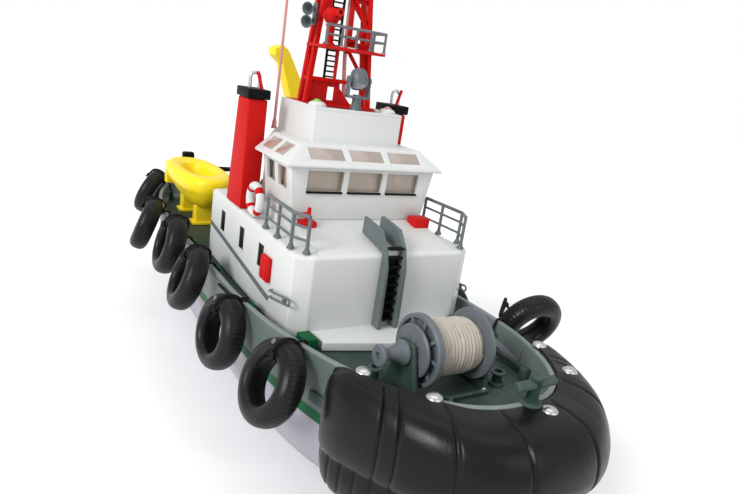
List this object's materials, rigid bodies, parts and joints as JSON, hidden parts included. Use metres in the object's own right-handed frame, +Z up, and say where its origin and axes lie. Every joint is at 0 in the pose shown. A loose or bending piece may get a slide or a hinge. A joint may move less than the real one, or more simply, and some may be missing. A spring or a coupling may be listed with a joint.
{
  "type": "rc boat",
  "caption": "Radio-controlled harbour tug with a padded bow, tyre fenders, towing winch, lattice mast, funnels, crane and rescue boat.",
  "frame": {"origin": "middle of the flat keel, on the surface the boat stands on", "axes": "+X to the bow, +Y to port, +Z up"},
  "size_m": [0.5525, 0.2416, 0.415],
  "materials": {
    "white_plastic": "gloss",
    "hull_grey": "gloss",
    "deck_green": "satin",
    "signal_red": "gloss",
    "black_plastic": "satin",
    "fender_rubber": "satin",
    "tyre_rubber": "matt",
    "fitting_grey": "satin",
    "cheek_grey": "satin",
    "yellow_plastic": "gloss",
    "rope": "matt",
    "silver": "satin",
    "steel": "brushed",
    "brass": "polished",
    "green_lens": "gloss",
    "red_lens": "gloss",
    "window_clear": "clear",
    "board_green": "gloss",
    "battery_blue": "satin"
  },
  "bodies": {
    "boat": {"hull": "hull_grey", "main_deck": "deck_green", "bow_bitt": "deck_green", "bow_fender": "fender_rubber", "deckhouse": "white_plastic", "wheelhouse": "white_plastic", "wheelhouse_roof": "white_plastic", "life_ring_port": "white_plastic", "life_ring_starboard": "white_plastic", "window_glazing": "window_clear", "helm_console": "black_plastic", "funnel_cap_port": "black_plastic", "funnel_cap_starboard": "black_plastic", "mast_ladder": "black_plastic", "aft_bitt": "black_plastic", "nav_light_starboard": "green_lens", "nav_light_port": "red_lens", "monitor_hose": "red_lens", "antenna": "red_lens", "funnel_port": "signal_red", "funnel_starboard": "signal_red", "mast": "signal_red", "exhaust_pipe_port": "silver", "exhaust_pipe_starboard": "silver", "motor_port": "silver", "motor_starboard": "silver", "roof_railing_port": "fitting_grey", "roof_railing_starboard": "fitting_grey", "searchlight_pedestal": "fitting_grey", "platform_railing": "fitting_grey", "loudhailer": "fitting_grey", "winch_frame": "fitting_grey", "foredeck_ladder": "cheek_grey", "rescue_boat": "yellow_plastic", "battery_pack": "battery_blue", "receiver_board": "board_green"},
    "propeller_port": {"propeller_port": "brass", "shaft_port": "steel"},
    "propeller_starboard": {"propeller_starboard": "brass", "shaft_starboard": "steel"},
    "winch": {"winch_drum": "fitting_grey", "winch_rope": "rope"},
    "searchlight_yoke": {"searchlight_yoke": "fitting_grey"},
    "searchlight_lamp": {"searchlight_lamp": "fitting_grey"},
    "radar": {"radar_scanner": "white_plastic"},
    "fire_monitor": {"fire_monitor": "signal_red"},
    "crane_column": {"crane_column": "yellow_plastic"},
    "crane_boom": {"crane_boom": "yellow_plastic"},
    "tyre_port_1": {"tyre_port_1": "tyre_rubber"},
    "tyre_port_2": {"tyre_port_2": "tyre_rubber"},
    "tyre_port_3": {"tyre_port_3": "tyre_rubber"},
    "tyre_port_4": {"tyre_port_4": "tyre_rubber"},
    "tyre_port_5": {"tyre_port_5": "tyre_rubber"},
    "tyre_port_6": {"tyre_port_6": "tyre_rubber"},
    "tyre_starboard_1": {"tyre_starboard_1": "tyre_rubber"},
    "tyre_starboard_2": {"tyre_starboard_2": "tyre_rubber"},
    "tyre_starboard_3": {"tyre_starboard_3": "tyre_rubber"},
    "tyre_starboard_4": {"tyre_starboard_4": "tyre_rubber"},
    "tyre_starboard_5": {"tyre_starboard_5": "tyre_rubber"},
    "tyre_starboard_6": {"tyre_starboard_6": "tyre_rubber"}
  },
  "joints": [
    {"name": "propeller_port_spin", "type": "hinge", "parent": "boat", "child": "propeller_port", "pos_m": [-0.216, 0.028, 0.02], "axis": [1, 0, 0], "continuous": true},
    {"name": "propeller_starboard_spin", "type": "hinge", "parent": "boat", "child": "propeller_starboard", "pos_m": [-0.216, -0.028, 0.02], "axis": [1, 0, 0], "continuous": true},
    {"name": "winch_spin", "type": "hinge", "parent": "boat", "child": "winch", "pos_m": [0.19, 0, 0.112], "axis": [0, 1, 0], "continuous": true},
    {"name": "searchlight_pan", "type": "hinge", "parent": "boat", "child": "searchlight_yoke", "pos_m": [0.044, 0, 0.235], "axis": [0, 0, 1], "range_deg": [-150, 150]},
    {"name": "searchlight_tilt", "type": "hinge", "parent": "searchlight_yoke", "child": "searchlight_lamp", "pos_m": [0.044, 0, 0.2445], "axis": [0, 1, 0], "range_deg": [-75, 20]},
    {"name": "radar_spin", "type": "hinge", "parent": "boat", "child": "radar", "pos_m": [0.004, 0, 0.372], "axis": [0, 0, 1], "continuous": true},
    {"name": "fire_monitor_pan", "type": "hinge", "parent": "boat", "child": "fire_monitor", "pos_m": [0.023, -0.0165, 0.266], "axis": [0, 0, 1], "range_deg": [-90, 90]},
    {"name": "crane_slew", "type": "hinge", "parent": "boat", "child": "crane_column", "pos_m": [-0.098, 0.048, 0.086], "axis": [0, 0, 1], "range_deg": [-140, 15]},
    {"name": "crane_luff", "type": "hinge", "parent": "crane_column", "child": "crane_boom", "pos_m": [-0.098, 0.048, 0.162], "axis": [0.9836, 0.1805, 0], "range_deg": [-12, 45]},
    {"name": "tyre_port_1_swing", "type": "hinge", "parent": "boat", "child": "tyre_port_1", "pos_m": [0.1525, 0.0765, 0.1005], "axis": [0.946, -0.324, 0], "range_deg": [0, 35]},
    {"name": "tyre_port_2_swing", "type": "hinge", "parent": "boat", "child": "tyre_port_2", "pos_m": [0.07402, 0.08375, 0.09741], "axis": [0.9997, -0.0244, 0], "range_deg": [0, 40]},
    {"name": "tyre_port_3_swing", "type": "hinge", "parent": "boat", "child": "tyre_port_3", "pos_m": [0.002, 0.084, 0.0965], "axis": [1, 0, 0], "range_deg": [0, 40]},
    {"name": "tyre_port_4_swing", "type": "hinge", "parent": "boat", "child": "tyre_port_4", "pos_m": [-0.062, 0.084, 0.0965], "axis": [1, 0, 0], "range_deg": [0, 40]},
    {"name": "tyre_port_5_swing", "type": "hinge", "parent": "boat", "child": "tyre_port_5", "pos_m": [-0.14104, 0.08338, 0.09706], "axis": [0.9991, 0.0423, 0], "range_deg": [0, 40]},
    {"name": "tyre_port_6_swing", "type": "hinge", "parent": "boat", "child": "tyre_port_6", "pos_m": [-0.23654, 0.0611, 0.10269], "axis": [0.8411, 0.5408, 0], "range_deg": [0, 40]},
    {"name": "tyre_starboard_1_swing", "type": "hinge", "parent": "boat", "child": "tyre_starboard_1", "pos_m": [0.14918, -0.07662, 0.10229], "axis": [-0.9831, -0.1833, 0], "range_deg": [0, 40]},
    {"name": "tyre_starboard_2_swing", "type": "hinge", "parent": "boat", "child": "tyre_starboard_2", "pos_m": [0.07402, -0.08375, 0.09741], "axis": [-0.9997, -0.0244, 0], "range_deg": [0, 40]},
    {"name": "tyre_starboard_3_swing", "type": "hinge", "parent": "boat", "child": "tyre_starboard_3", "pos_m": [0.002, -0.084, 0.0965], "axis": [-1, 0, 0], "range_deg": [0, 40]},
    {"name": "tyre_starboard_4_swing", "type": "hinge", "parent": "boat", "child": "tyre_starboard_4", "pos_m": [-0.062, -0.084, 0.0965], "axis": [-1, 0, 0], "range_deg": [0, 40]},
    {"name": "tyre_starboard_5_swing", "type": "hinge", "parent": "boat", "child": "tyre_starboard_5", "pos_m": [-0.14104, -0.08338, 0.09706], "axis": [-0.9991, 0.0423, 0], "range_deg": [0, 40]},
    {"name": "tyre_starboard_6_swing", "type": "hinge", "parent": "boat", "child": "tyre_starboard_6", "pos_m": [-0.23654, -0.0611, 0.10269], "axis": [-0.8411, 0.5408, 0], "range_deg": [0, 40]}
  ]
}
